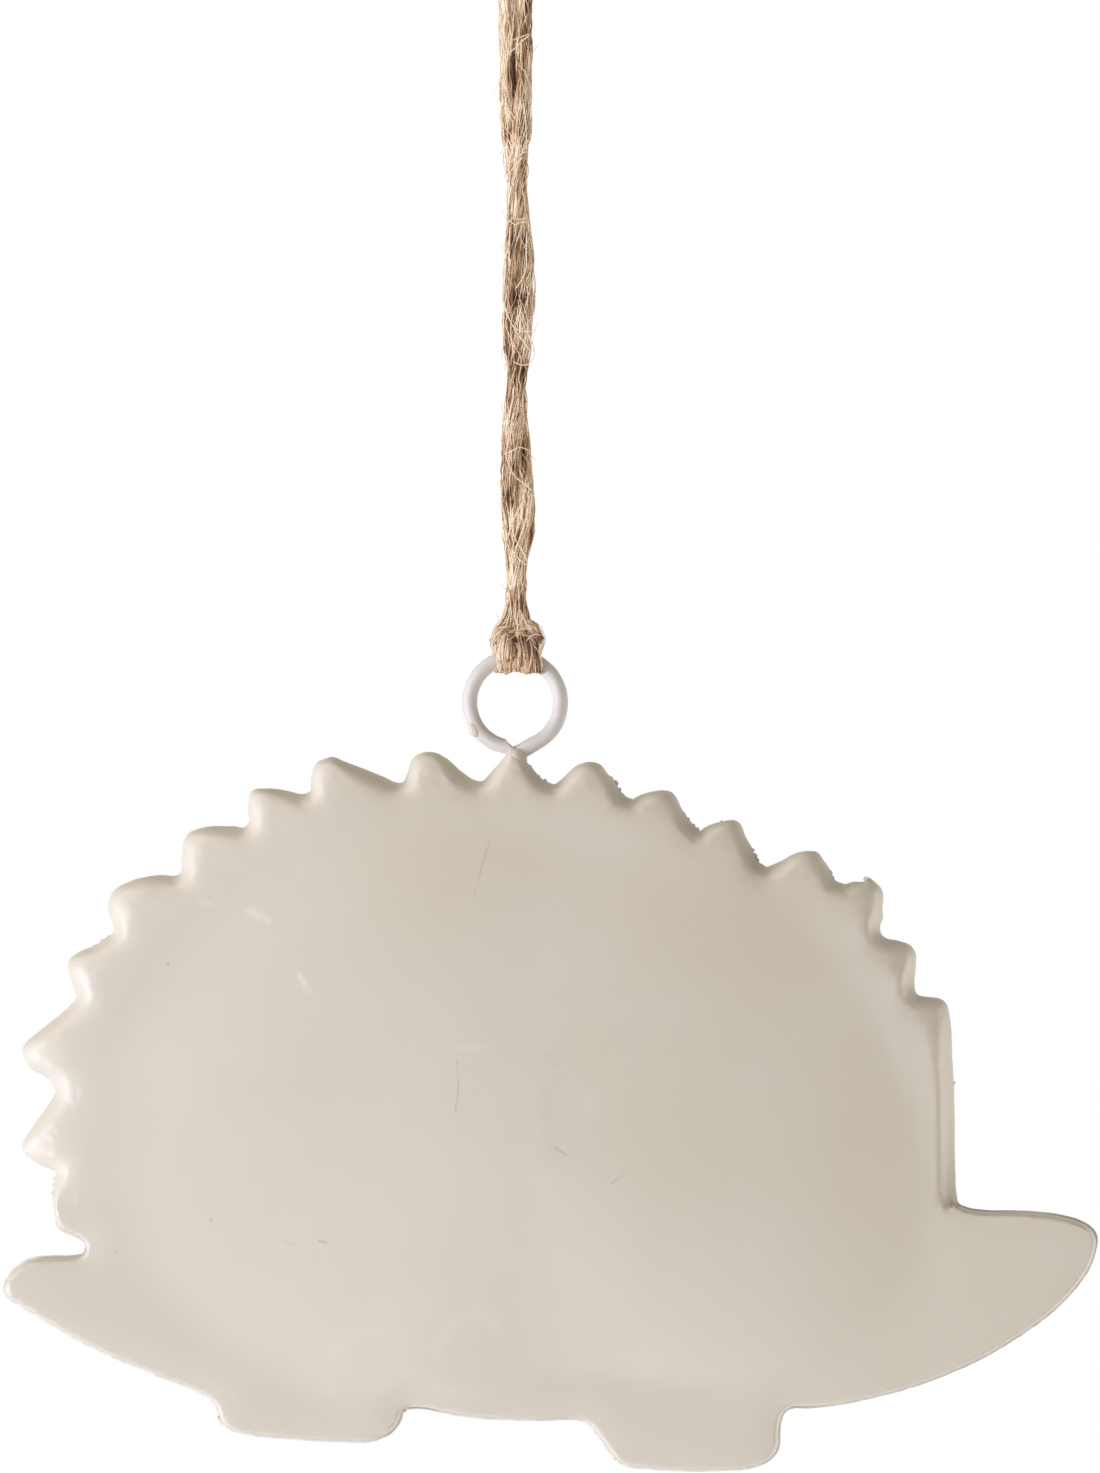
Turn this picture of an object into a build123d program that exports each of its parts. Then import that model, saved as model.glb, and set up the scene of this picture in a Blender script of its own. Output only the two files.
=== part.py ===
from build123d import *
import math
import os

# A hedgehog ornament of pressed and lacquered sheet metal that hangs by a wire ring from a jute cord.
# X runs from the tail to the snout, -Y faces the viewer, Z is up.
# The origin is where a hook bears in the top of the cord's eye.

# Pressed body
body_length = 110.0
body_height = 72.1
wall_depth = 3.0            # from the seam plane out to the flat brim
crown_rise = 2.8            # from the brim out to the top of the dome
sheet = 0.4
edge_roll = 0.7             # bend radius between the wall and the brim
seam_line = 0.3             # thickness of the solder between the two shells
seam_proud = 0.06           # how far that solder stands out of the walls
corner_spare = 0.05         # least radius left where a parallel curve runs inside a corner
roll_steps = 2              # flats that stand for the bend

# Radii that round the outline's corners
nib = edge_roll + corner_spare
tip = 0.95
shoulder = 1.4
crook = 0.45
bend = 2.5
sweep_round = 14.0
side_fill_share = 0.99      # of a straight side, the most that the arcs at its two ends may use
seam_reach = nib - 2 * corner_spare     # how far the solder runs in between the shells

# Hanging ring of bent wire
ring_outside = 10.6
wire = 1.5
ring_start = 260.0          # degrees round the ring, anticlockwise from +X, where the wire begins
ring_turn = -320.0          # degrees that the wire is bent through, over the top
ring_tail = 3.0             # straight end that dips through the seam into the spine
ring_play = 0.05            # clearance of the wire in the spine's notch
tack_cover = 0.4            # solder over the wire's ends at the spine's tip

# Jute cord
twine = 1.9
legs_across = 2 * twine     # both legs, twisted round each other
legs_length = 66.5
eye_drop = 27.5             # from the bearing point down to where the legs part
eye_rise = 3.0              # from the bearing point up to the knot
turn_gap = 0.15             # play of the ring's wire in the hitch
turn_pitch = 2.2            # between the two turns round the wire
turn_bed = 0.45             # from that play out to the middle of a turn, which the pull flattens
turn_mean = wire / 2 + turn_gap + turn_bed
hitch_rise = 6.1            # from the wire's centre to the twisted legs
bar_reach = 1.45            # half width of the bar over the two turns
bar_rise = 3.1
bar_forward = 1.55
bar_foot = 1.4
strand_gap = 0.1            # left between two strands that run side by side
strand_apart = twine + strand_gap
knot_height = 5.4
knot_wrap = 1.75            # radius to the middle of the knot's wrapped strand
knot_tilt = 24.0            # degrees
tail_length = 8.0
tail_lean = 0.32            # how far a tail leans out, per length
arc_share = 0.45            # of the shorter run, where a cord's arc begins

# Places worked out from the sizes
fork_z = -eye_drop
twirl_z = fork_z - legs_length
wire_top_z = twirl_z - hitch_rise
ring_radius = (ring_outside - wire) / 2
ring_z = wire_top_z - ring_radius
ring_x_share = 0.4683       # of body_length, from the tail's tip
seat_share = 0.9951         # of body_height, where the ring's lowest point lies
body_left = -ring_x_share * body_length
body_bottom = ring_z - ring_outside / 2 - seat_share * body_height

# Corners of the outline, clockwise from the tail: share of body_length from the tail's tip,
# share of body_height from the feet, and the radius that rounds the corner
tail_shares = [
    (0.146, 0.128, sweep_round), (0.095, 0.161, sweep_round), (0.036, 0.211, sweep_round),
    (-0.002, 0.249, nib), (0.009, 0.284, shoulder), (0.036, 0.300, bend), (0.078, 0.3005, crook),
    (0.077, 0.317, crook),
]
spine_shares = [
    [(0.0475, 0.341, nib), (0.046, 0.373, bend), (0.052, 0.420, crook)],
    [(0.017, 0.445, tip), (0.051, 0.534, crook)],
    [(0.021, 0.565, tip), (0.0185, 0.585, tip), (0.032, 0.6105, bend), (0.070, 0.656, crook)],
    [(0.0585, 0.701, tip), (0.070, 0.722, tip), (0.106, 0.753, crook)],
    [(0.0965, 0.787, shoulder), (0.112, 0.8195, shoulder), (0.167, 0.831, crook)],
    [(0.165, 0.880, tip), (0.177, 0.8945, tip), (0.228, 0.896, crook)],
    [(0.225, 0.941, tip), (0.236, 0.951, tip), (0.284, 0.942, crook)],
    [(0.282, 0.979, tip), (0.3005, 0.9955, shoulder), (0.348, 0.966, bend), (0.371, 0.957, crook)],
    [(0.373, 0.992, tip), (0.387, 1.002, tip), (0.402, 0.9955, shoulder), (0.425, 0.965, bend),
     (0.438, 0.957, crook)],
    [(0.461, 1.002, nib), (0.472, 1.003, nib), (0.505, 0.953, crook)],
    [(0.5245, 0.982, shoulder), (0.537, 0.988, tip), (0.548, 0.983, tip), (0.564, 0.944, bend),
     (0.5755, 0.9335, crook)],
    [(0.591, 0.946, shoulder), (0.6115, 0.9465, tip), (0.637, 0.887, crook)],
    [(0.653, 0.904, shoulder), (0.672, 0.9045, tip), (0.688, 0.847, bend), (0.697, 0.837, crook)],
    [(0.726, 0.861, shoulder), (0.743, 0.8625, tip), (0.758, 0.824, bend), (0.768, 0.8145, crook)],
    [(0.794, 0.8215, tip), (0.8035, 0.809, nib), (0.8035, 0.742, crook)],
    [(0.8225, 0.736, tip), (0.833, 0.723, tip), (0.8325, 0.664, crook)],
]
head_shares = [
    (0.8545, 0.659, tip), (0.864, 0.648, tip), (0.867, 0.572, sweep_round), (0.871, 0.368, shoulder),
    (0.928, 0.3625, sweep_round), (0.989, 0.353, bend), (1.002, 0.313, shoulder),
    (0.990, 0.268, bend), (0.950, 0.208, sweep_round), (0.898, 0.156, sweep_round),
    (0.810, 0.1045, sweep_round), (0.717, 0.0875, crook),
]
feet_shares = [
    (0.7105, 0.074, bend), (0.7105, 0.029, tip), (0.692, 0.005, shoulder), (0.637, -0.001, sweep_round),
    (0.564, 0.008, shoulder), (0.535, 0.070, shoulder), (0.455, 0.070, sweep_round),
    (0.391, 0.0875, bend), (0.371, 0.0875, crook), (0.363, 0.065, tip), (0.343, 0.0405, tip),
    (0.319, 0.0395, sweep_round), (0.213, 0.053, shoulder), (0.1965, 0.068, tip), (0.191, 0.095, bend),
    (0.180, 0.111, bend),
]

# Foot of the dome, clockwise from the left, as shares of body_length and body_height
dome_shares = [
    (0.107, 0.495), (0.127, 0.634), (0.186, 0.760), (0.290, 0.864), (0.436, 0.900), (0.582, 0.864),
    (0.710, 0.787), (0.790, 0.676), (0.819, 0.516), (0.838, 0.336), (0.810, 0.204), (0.673, 0.130),
    (0.473, 0.125), (0.263, 0.138), (0.168, 0.224), (0.118, 0.356),
]
dome_middle_shares = (0.468, 0.512)
dome_ring_shares = [1.04, 0.90, 0.74, 0.54, 0.30]     # the dome's sections, of its foot's size
crown_power = 2.2

# Route of the eye's right strand, from the fork up to the knot
eye_points = [
    (strand_apart / 2, fork_z), (strand_apart / 2, -24.3), (4.6, -16.0), (4.4, -8.2), (strand_apart / 2, -0.6),
    (strand_apart / 2, eye_rise),
]


def body_point(x_share, z_share):
    return Vector(body_left + x_share * body_length, body_bottom + z_share * body_height)


def outline_corners():
    rows = tail_shares + [corner for spine in spine_shares for corner in spine] + head_shares + feet_shares
    return [(body_point(x, z), radius) for x, z, radius in rows]


# Corners of the parallel curve that runs the given distance inside the outline: place, radius, and whether
# the corner juts out
def inset_corners(inset):
    corners = outline_corners()
    moved = []
    for i, (here, radius) in enumerate(corners):
        before, after = corners[i - 1][0], corners[(i + 1) % len(corners)][0]
        come, go = (here - before).normalized(), (after - here).normalized()
        inward = Vector(come.Y + go.Y, -come.X - go.X)
        juts = come.cross(go).Z < 0
        turned = radius - inset if juts else radius + inset
        moved.append((here + inward * (inset / (1 + come.dot(go))), max(turned, corner_spare), juts))
    return moved


# Lengths that the corners' arcs take from the sides beside them, shortened where a side is too short for both
def fitted_reaches(places, radii, halves):
    reaches = [radius / math.tan(half) for radius, half in zip(radii, halves)]
    fits = []
    for i, here in enumerate(places):
        side = (here - places[i - 1]).length
        fits.append(min(1, side_fill_share * side / (reaches[i - 1] + reaches[i])))
    return [reach * min(fits[i], fits[(i + 1) % len(fits)]) for i, reach in enumerate(reaches)]


# Start, crest and end of each corner's arc, with the corner itself and whether it juts out
def corner_arcs(inset):
    places, radii, jutting = zip(*inset_corners(inset))
    backs = [(before - here).normalized() for before, here in zip(places[-1:] + places, places)]
    aheads = [(after - here).normalized() for after, here in zip(places[1:] + places[:1], places)]
    halves = [math.radians(back.get_angle(ahead)) / 2 for back, ahead in zip(backs, aheads)]
    reaches = fitted_reaches(places, radii, halves)
    arcs = []
    for here, juts, back, ahead, half, reach in zip(places, jutting, backs, aheads, halves, reaches):
        crest = here + (back + ahead).normalized() * (reach / math.cos(half) - reach * math.tan(half))
        arcs.append((here + back * reach, crest, here + ahead * reach, here, juts))
    return arcs


# Face of straight stretches and tangent arcs, parallel to the seam plane at the given depth
def outline_face(inset, depth):
    arcs = [Edge.make_three_point_arc(start, crest, end) for start, crest, end, _, _ in corner_arcs(inset)]
    lines = [Edge.make_line(arcs[i - 1] @ 1, arcs[i] @ 0) for i in range(len(arcs))]
    loop = Wire([edge for pair in zip(lines, arcs) for edge in pair])
    return Plane.XZ.offset(depth) * Face(loop)


# The same for the hidden inside, with straight cuts where it juts out and sharp corners in the notches
def inner_face(inset, depth):
    points = []
    for start, _, end, corner, juts in corner_arcs(inset):
        points += [start, end] if juts else [corner]
    return Plane.XZ.offset(depth) * make_face(Polyline(*points, close=True))


# Wall, rolled edge and brim of one half
def pressed_slab():
    middle = wall_depth - edge_roll
    sections = [outline_face(0, seam_line / 2)]
    for step in range(roll_steps + 1):
        angle = math.pi / 2 * step / roll_steps
        sections.append(outline_face(edge_roll * (1 - math.cos(angle)), middle + edge_roll * math.sin(angle)))
    return loft(sections, ruled=True)


# Crowned dome on the brim, sunk by the given amount
def dome(sink):
    middle = body_point(*dome_middle_shares)
    foot = [body_point(*share) - middle for share in dome_shares]
    sections = []
    for ring_share in dome_ring_shares:
        depth = wall_depth - sink + crown_rise * (1 - ring_share ** crown_power)
        loop = Spline(*[middle + point * ring_share for point in foot], periodic=True)
        sections.append(Plane.XZ.offset(depth) * make_face(loop))
    top = Vertex(middle.X, -(wall_depth - sink + crown_rise), middle.Y)
    return loft(sections + [top])


def ring_tube(radius):
    bow = CenterArc((0, 0), ring_radius, ring_start, ring_turn)
    end = Line(bow @ 1, bow @ 1 + (bow % 1) * ring_tail)
    path = Pos(0, 0, ring_z) * (Plane.XZ * (bow + end))
    return sweep(Plane(path @ 0, z_dir=path % 0) * Circle(radius), path)


def outer_form():
    return pressed_slab() + dome(0)


def front_shell(outer):
    hollow = extrude(inner_face(sheet, 0), wall_depth - sheet, dir=(0, -1, 0)) + dome(sheet)
    return outer - hollow - ring_tube(wire / 2 + ring_play)


def seam_slab():
    return extrude(outline_face(-seam_proud, -seam_line / 2), seam_line, dir=(0, -1, 0))


def seam_solder():
    gap = extrude(inner_face(seam_reach, -seam_line / 2), seam_line, dir=(0, -1, 0))
    return seam_slab() - gap - ring_tube(wire / 2 + ring_play)


# Drop of solder over the wire's ends at the spine's tip
def ring_tack(outer):
    drop = Pos(0, 0, ring_z - ring_radius) * Sphere(wire / 2 + tack_cover)
    return drop - ring_tube(wire / 2) - outer - mirror(outer, Plane.XZ) - seam_slab()


# Everything that the ring sweeps when it rocks about its wire, with the play round it
def ring_sweep():
    bore = ring_radius - wire / 2 - turn_gap
    half = turn_pitch / 2 + twine / 2 + turn_gap
    rise = ring_radius - math.sqrt(bore ** 2 - half ** 2)
    mouth = ThreePointArc((-half, rise), (0, ring_radius - bore), (half, rise))
    sides = Polyline((half, rise), (half, 0), (-half, 0), (-half, rise))
    return Pos(0, 0, wire_top_z) * revolve(make_face(mouth + sides), Axis.X)


# Cow hitch: two turns round the wire, the bar across the front, and the two legs rising behind the bar
def cord_hitch():
    turn = Rot(0, 90, 0) * Torus(turn_mean, twine / 2)
    turns = Pos(-turn_pitch / 2, 0, 0) * turn + Pos(turn_pitch / 2, 0, 0) * turn
    arch = ThreePointArc((-bar_reach, 0, bar_foot), (0, -bar_forward, bar_rise), (bar_reach, 0, bar_foot))
    bar = sweep(Plane(arch @ 0, z_dir=arch % 0) * Circle(twine / 2), arch)
    leg = Cylinder(twine / 2, hitch_rise - turn_mean, align=(Align.CENTER, Align.CENTER, Align.MAX))
    legs = [Pos(side * strand_apart / 2, 0, hitch_rise) * leg for side in (-1, 1)]
    knot = turns + bar + legs[0] + legs[1]
    return Pos(0, 0, wire_top_z) * knot - ring_sweep()


def cord_legs():
    upright = (Align.CENTER, Align.CENTER, Align.MIN)
    return Pos(0, 0, twirl_z) * Cylinder(legs_across / 2, legs_length, align=upright)


# Half the eye: one strand from the fork, out round the hook and back in to the knot
def eye_route():
    return [Vector(x, 0, z) for x, z in eye_points]


def route_radii(route):
    radii = []
    for before, here, after in zip(route, route[1:], route[2:]):
        come, go = here - before, after - here
        half_turn = math.radians(come.get_angle(go)) / 2
        radii.append(arc_share * min(come.length, go.length) / math.tan(half_turn))
    return radii


def cord_tube(route):
    radii = route_radii(route)
    path = FilletPolyline(*route, radius=radii)
    tube = sweep(Plane(path @ 0, z_dir=path % 0) * Circle(twine / 2), path)
    print("arc radii", [round(radius, 1) for radius in radii], "length", round(path.length, 2),
          "volume share", round(tube.volume / (math.pi * (twine / 2) ** 2 * path.length), 4))
    return tube


def cord_eye():
    strand = cord_tube(eye_route())
    return [strand, mirror(strand, Plane.YZ)]


# Overhand knot that joins the twine's two ends, with their tails
def eye_knot():
    middle = Pos(0, 0, eye_rise + knot_height / 2)
    core = Cylinder(knot_wrap, knot_height)
    wrap = Torus(knot_wrap, twine / 2)
    wraps = Rot(0, knot_tilt, 0) * wrap + Rot(knot_tilt, -knot_tilt, 0) * wrap
    knot = middle * (core + wraps)
    start = eye_rise + knot_height - twine
    for side in (-1, 1):
        foot = Vector(side * strand_apart / 2, 0, start)
        knee = foot + Vector(0, 0, twine + tail_length / 2)
        end = knee + Vector(side * tail_lean, -side * tail_lean, 1).normalized() * (tail_length / 2)
        knot += cord_tube([foot, knee, end])
    return knot


os.makedirs("parts", exist_ok=True)
front_form = outer_form()
front = front_shell(front_form)
nodes = {
    "front_shell": front,
    "rear_shell": mirror(front, Plane.XZ),
    "seam_solder": seam_solder(),
    "hanging_ring": ring_tube(wire / 2),
    "ring_tack": ring_tack(front_form),
    "cord_hitch": cord_hitch(),
    "cord_legs": cord_legs(),
    "cord_eye": Compound(cord_eye()),
    "eye_knot": eye_knot(),
}
for name, solid in nodes.items():
    export_step(solid, f"parts/{name}.step")
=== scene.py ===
import math

import bmesh
import bpy
import numpy as np
from mathutils import Matrix, Vector, noise
from mathutils.bvhtree import BVHTree


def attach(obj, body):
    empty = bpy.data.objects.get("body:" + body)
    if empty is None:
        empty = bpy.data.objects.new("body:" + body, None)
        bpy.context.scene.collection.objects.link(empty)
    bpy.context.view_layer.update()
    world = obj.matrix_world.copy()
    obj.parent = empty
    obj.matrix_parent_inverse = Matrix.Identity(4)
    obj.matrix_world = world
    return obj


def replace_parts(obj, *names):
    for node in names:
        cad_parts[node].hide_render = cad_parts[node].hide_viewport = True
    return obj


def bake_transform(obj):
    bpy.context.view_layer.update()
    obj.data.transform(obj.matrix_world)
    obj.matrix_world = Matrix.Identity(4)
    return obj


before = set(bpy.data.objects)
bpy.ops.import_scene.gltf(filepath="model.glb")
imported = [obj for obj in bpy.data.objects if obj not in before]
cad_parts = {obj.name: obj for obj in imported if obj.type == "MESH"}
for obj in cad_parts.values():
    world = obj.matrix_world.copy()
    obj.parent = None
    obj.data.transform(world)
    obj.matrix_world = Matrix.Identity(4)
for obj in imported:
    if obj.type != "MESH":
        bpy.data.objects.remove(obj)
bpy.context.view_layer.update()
mm = 0.001

# A pressed and lacquered sheet metal hedgehog that hangs by a wire ring from a jute cord.
# X runs from the tail to the snout, -Y faces the viewer, Z is up, and the hook bears at the origin.


def linear(hexColour):  # a written sRGB colour as the shader needs it
    parts = [int(hexColour[i:i + 2], 16) / 255 for i in (1, 3, 5)]
    return [p / 12.92 if p <= 0.04045 else ((p + 0.055) / 1.055) ** 2.4 for p in parts] + [1.0]


def smoothStep(low, high, value):  # 0 at low, 1 at high and an even curve between them
    t = np.clip((value - low) / (high - low), 0, 1)
    return t * t * (3 - 2 * t)


def runningMean(values, reach):  # over so many values on each side
    return np.convolve(np.pad(values, reach, mode="edge"), np.ones(2 * reach + 1) / (2 * reach + 1), mode="valid")


def only(items, kind):  # those of one kind among what a bmesh operator gives back
    return [item for item in items if isinstance(item, kind)]


def addNode(tree, kind, inputs=None, **settings):  # one node with its settings, values and links
    node = tree.nodes.new(kind)
    for name, value in settings.items():
        setattr(node, name, value)
    for socket, value in (inputs or {}).items():
        if isinstance(value, bpy.types.NodeSocket):
            tree.links.new(value, node.inputs[socket])
        else:
            node.inputs[socket].default_value = value
    return node


def newMaterial(name):  # a cleared material, its tree and the Object coordinates that its patterns read
    material = bpy.data.materials.new(name)
    material.use_nodes = True
    tree = material.node_tree
    tree.nodes.clear()
    return material, tree, addNode(tree, "ShaderNodeTexCoord").outputs["Object"]


def maths(tree, operation, *values):
    return addNode(tree, "ShaderNodeMath", dict(enumerate(values)), operation=operation).outputs[0]


def noisePattern(tree, place, scale, detail):
    return addNode(tree, "ShaderNodeTexNoise", {"Vector": place, "Scale": scale, "Detail": detail}).outputs["Fac"]


def mapped(tree, value, start, end, startResult=0.0, endResult=1.0, **settings):  # held at both ends
    return addNode(tree, "ShaderNodeMapRange", {"Value": value, "From Min": start, "From Max": end,
                                                "To Min": startResult, "To Max": endResult}, **settings).outputs[0]


def colourRamp(tree, value, steps):  # steps are places along the ramp with their sRGB colours
    ramp = addNode(tree, "ShaderNodeValToRGB", {"Fac": value})
    elements = ramp.color_ramp.elements
    while len(elements) < len(steps):
        elements.new(0.5)
    for element, (spot, colour) in zip(elements, steps):
        element.position, element.color = spot, linear(colour)
    return ramp.outputs["Color"]


def overlay(tree, amount, under, over):  # one colour laid over another
    return addNode(tree, "ShaderNodeMix", {0: amount, 6: under, 7: over}, data_type="RGBA").outputs[2]


def closeMaterial(material, tree, colour, height, strength, depth, sockets):  # its shader, with a bump depth in mm
    bump = addNode(tree, "ShaderNodeBump", {"Height": height, "Strength": strength, "Distance": depth * mm})
    shader = addNode(tree, "ShaderNodeBsdfPrincipled", {
        "Base Color": colour, "IOR": 1.5, "Normal": bump.outputs["Normal"], **sockets})
    addNode(tree, "ShaderNodeOutputMaterial", {"Surface": shader.outputs["BSDF"]})
    return material


def finishPiece(bm, name, material, body):  # a bmesh becomes a smooth piece at the origin
    mesh = bpy.data.meshes.new(name)
    bm.to_mesh(mesh)
    bm.free()
    return dressPiece(mesh, name, material, body)


def dressPiece(mesh, name, material, body):
    mesh.polygons.foreach_set("use_smooth", [True] * len(mesh.polygons))
    mesh.materials.clear()
    mesh.materials.append(material)
    piece = bpy.data.objects.new(name, mesh)
    bpy.context.collection.objects.link(piece)
    if body:
        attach(piece, body)
    return piece


# Where the photo's pixels lie on the object: the ring's middle, its height, and the scale
photo = {"ringAt": (515.2, 702.5), "ringZ": -104.65, "mmPerPixel": 0.1002}


def fromPhoto(points, forward):  # places read off the photo, in its pixels, and how far in front, in mm
    (ringX, ringY), scale = photo["ringAt"], photo["mmPerPixel"]
    return [((x - ringX) * scale, -forward, photo["ringZ"] - (y - ringY) * scale) for x, y in points]


# Camera, level and straight on
cameraView = {"distance": 1.2, "middleX": 3.49 * mm, "middleZ": -108.06 * mm, "seenHeight": 147.6 * mm,
              "sensor": 36}  # mm across


def makeCamera():
    camera = bpy.data.objects.new("camera", bpy.data.cameras.new("camera"))
    bpy.context.collection.objects.link(camera)
    camera.location = (cameraView["middleX"], -cameraView["distance"], cameraView["middleZ"])
    camera.rotation_euler = (math.pi / 2, 0, 0)
    camera.data.sensor_width = cameraView["sensor"]
    camera.data.lens = cameraView["sensor"] * cameraView["distance"] / cameraView["seenHeight"]
    camera.data.clip_start, camera.data.clip_end = 0.01, 20
    bpy.context.scene.camera = camera


makeCamera()
print("camera placed")

# Jute cord
jute = {
    "fullRadius": 0.95,  # mm, a strand that nothing presses
    "skinFibres": 40,  # fibre bundles round the outside of a strand
    # the inner layer and the dark heart are painted shade: darker fibres where the strand's inside lies in shade
    "innerFibres": 14,  # a deeper layer that fills the gaps
    "fibre": (0.06, 0.15),  # mm, radii of the bundles; real fibres are finer and lie in such bundles
    "core": 0.62,  # mm, radius of the dark heart of a full strand
    "step": 0.8,  # mm between points along a fibre
    "lay": 0.10,  # radians per mm that the fibres turn round their strand
    "matFibre": (0.03, 0.075), "matLong": (2.0, 8.0), "matPoints": 14,  # mm, the felted fibres
    "stray": (0.035, 0.06), "strayLong": (0.8, 2.6), "strayPoints": 7,  # mm, the loose fibres
}
wireTopZ, wireRadius, ringRadius = -100.1, 0.75, 4.55


def newCurve(name, resolution=12):
    curve = bpy.data.curves.new(name, "CURVE")
    curve.dimensions, curve.resolution_u = "3D", resolution
    return curve


def newSpline(curve, kind, count):
    spline = curve.splines.new(kind)
    (spline.bezier_points if kind == "BEZIER" else spline.points).add(count - 1)
    return spline


def meshOfCurve(curve):
    holder = bpy.data.objects.new(curve.name, curve)
    mesh = bpy.data.meshes.new_from_object(holder)
    bpy.data.objects.remove(holder)
    return mesh


def smoothLine(points):  # points read from the smooth line through a route's control points, in mm
    curve = newCurve("route", 16)
    spline = newSpline(curve, "NURBS", len(points))
    for knot, (x, y, z) in zip(spline.points, points):
        knot.co = (x * mm, y * mm, z * mm, 1)
    spline.order_u, spline.use_endpoint_u = 3, True
    line = meshOfCurve(curve)
    path = np.array([v.co[:] for v in line.vertices]) / mm
    bpy.data.meshes.remove(line)
    return path


def evenSteps(path, step):  # the same line in even steps, with the length so far at each
    gaps = np.linalg.norm(np.diff(path, axis=0), axis=1)
    lengths = np.concatenate([[0], np.cumsum(gaps)])
    marks = np.linspace(0, lengths[-1], max(4, round(lengths[-1] / step) + 1))
    return along(path, lengths, marks), marks


def along(rows, marks, at):  # rows of points or directions at the given lengths
    return np.stack([np.interp(at, marks, rows[:, i]) for i in range(3)], axis=1)


def sidesOf(path):  # two directions across the line at each point, carried along it without turning
    runs = np.gradient(path, axis=0)
    runs /= np.linalg.norm(runs, axis=1)[:, None]
    side = np.cross(runs[0], (0.3, 1.0, 0.1))
    sides = []
    for run in runs:
        side = side - run * side.dot(run)
        side /= np.linalg.norm(side)
        sides.append(side)
    sides = np.array(sides)
    return sides, np.cross(runs, sides)


def anywhere(places, fibre):  # for cord that touches nothing
    return places


def layFibre(bundle, places, radii, tone):  # fibres are gathered first: points, radii and tone of each
    bundle.append((np.array(places, float), np.array(radii, float), tone))


def layStrand(bundle, path, seed, radius, keepClear, fray):
    # one strand of jute along a line: a dark heart and an inner layer, both darkened as painted shade, and the bundles
    # of its skin, whose fibres start and stop by chance up to so many mm short of the two ends
    dice = np.random.default_rng(seed)
    line, marks = evenSteps(path, jute["step"])
    sides, ups = sidesOf(line)
    phases = dice.uniform(0, 2 * math.pi, 3)
    swell = 1 + 0.06 * np.sin(0.9 * marks + phases[0]) + 0.05 * np.sin(2.1 * marks + phases[1])
    # painted shade: a heart of tone 0 fills the strand's inside, which is only in shade, and shows dark in the gaps
    shadeCore = np.full(len(line), jute["core"] * radius / jute["fullRadius"])
    shadeCore[0] = shadeCore[-1] = 0.2
    layFibre(bundle, line, shadeCore, 0.0)
    # the inner layer's tones are halved as painted shade between the skin's bundles
    for count, depth, shade in ((jute["skinFibres"], 1.0, 1.0), (jute["innerFibres"], 0.8, 0.5)):
        for i in range(count):
            fibre = dice.uniform(*jute["fibre"])
            reach = (radius * depth - fibre) * dice.uniform(0.9, 1.04)
            waves = dice.uniform(0.2, 0.9, 2), dice.uniform(0, 2 * math.pi, 2)
            angle = 2 * math.pi * (i + dice.uniform(-0.4, 0.4)) / count + jute["lay"] * marks
            angle = angle + 0.3 * np.sin(waves[0][0] * marks + waves[1][0]) + dice.normal(0, 0.06, len(marks))
            out = reach * swell * (1 + 0.10 * np.sin(1.9 * waves[0][1] * marks + waves[1][1]))
            places = line + sides * (out * np.cos(angle))[:, None] + ups * (out * np.sin(angle))[:, None]
            places = keepClear(places, fibre)
            radii = fibre * (1 + 0.3 * np.sin(dice.uniform(0.3, 1.4) * marks + dice.uniform(0, 6)))
            first = int(dice.uniform(0, fray[0]) / jute["step"])
            last = len(line) - int(dice.uniform(0, fray[1]) / jute["step"])
            radii[first] = radii[last - 1] = fibre * 0.4
            layFibre(bundle, places[first:last], radii[first:last], dice.beta(1.9, 1.5) * shade)


def mat(bundle, path, perMm, seed, radius, keepClear):
    # short fibres that lie on a strand every which way, as carding leaves them
    dice = np.random.default_rng(seed)
    line, marks = evenSteps(path, 0.25)
    sides, ups = sidesOf(line)
    share = np.linspace(0, 1, jute["matPoints"])
    for _ in range(int(perMm * marks[-1])):
        long = dice.uniform(*jute["matLong"])
        start = dice.uniform(0, max(marks[-1] - long, 0.1))
        at = np.linspace(start, min(start + long, marks[-1]), jute["matPoints"])
        angle = dice.uniform(0, 2 * math.pi) + dice.normal(0, 0.2) * (at - start)
        angle = angle + dice.uniform(0.05, 0.4) * np.sin(dice.uniform(0.5, 1.9) * at + dice.uniform(0, 6))
        thick = dice.uniform(*jute["matFibre"])
        out = radius + dice.uniform(-0.08, 0.10) + dice.uniform(0, 0.16) * np.sin(share * math.pi)
        places = along(line, marks, at) + (along(sides, marks, at) * np.cos(angle)[:, None]
                                           + along(ups, marks, at) * np.sin(angle)[:, None]) * out[:, None]
        layFibre(bundle, keepClear(places, thick), thick * np.interp(share, (0, 0.2, 0.8, 1), (0.3, 1, 0.9, 0.3)),
                 dice.beta(2.2, 1.3))


def layStray(bundle, points, radius, tone=0.95, keepClear=anywhere):  # a loose fibre through given points
    line, marks = evenSteps(smoothLine(points), 0.35)
    radii = np.full(len(line), radius)
    radii[0] = radii[-1] = radius * 0.3
    layFibre(bundle, keepClear(line, radius), radii, tone)


def layStrays(bundle, strays, radius, keepClear=anywhere):  # read off the photo, with how far in front they lie
    for points, forward in strays:
        layStray(bundle, fromPhoto(points, forward), radius, keepClear=keepClear)


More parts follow.
